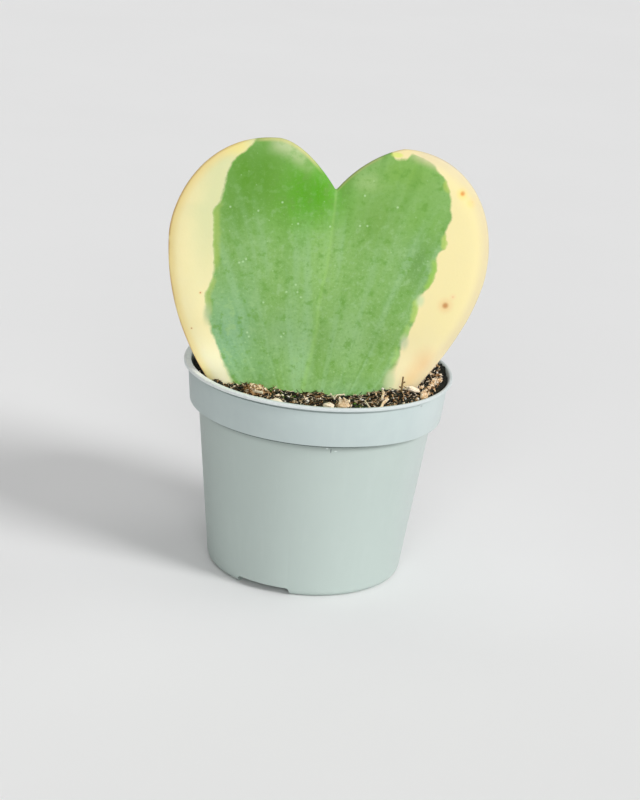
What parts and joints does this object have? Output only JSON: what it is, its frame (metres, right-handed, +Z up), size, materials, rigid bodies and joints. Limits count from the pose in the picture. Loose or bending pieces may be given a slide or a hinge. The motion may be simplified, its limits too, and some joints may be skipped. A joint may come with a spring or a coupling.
{
  "type": "potted hoya plant",
  "caption": "Single heart-shaped variegated hoya leaf rooted in bark and peat mix in a small round tapered nursery pot, standing on its foot ring as a desk plant.",
  "frame": {"origin": "on the pot's axis, at the surface that the pot stands on", "axes": "+Z up along the pot's axis, -Y is the front that the leaf faces, +X is the viewer's right"},
  "size_m": [0.0696, 0.06, 0.0997],
  "materials": {
    "pot_plastic": "moulded polypropylene, pale grey-green, satin",
    "potting_mix": "damp peat with bark, coir and perlite, rough",
    "leaf_skin": "thick succulent leaf, mid green with cream margins, waxy",
    "bark": "dry composted bark, rough",
    "dry_stalk": "dry stalk, rough"
  },
  "bodies": {
    "root": {"pot": "pot_plastic", "potting_mix": "potting_mix", "leaf": "leaf_skin", "bark_chip_right": "bark", "bark_lump_right": "bark", "bark_chip_front": "bark", "bark_lump_front": "bark", "bark_chip_left": "bark", "bark_flake_left": "bark", "dry_stalk": "dry_stalk"}
  },
  "joints": []
}
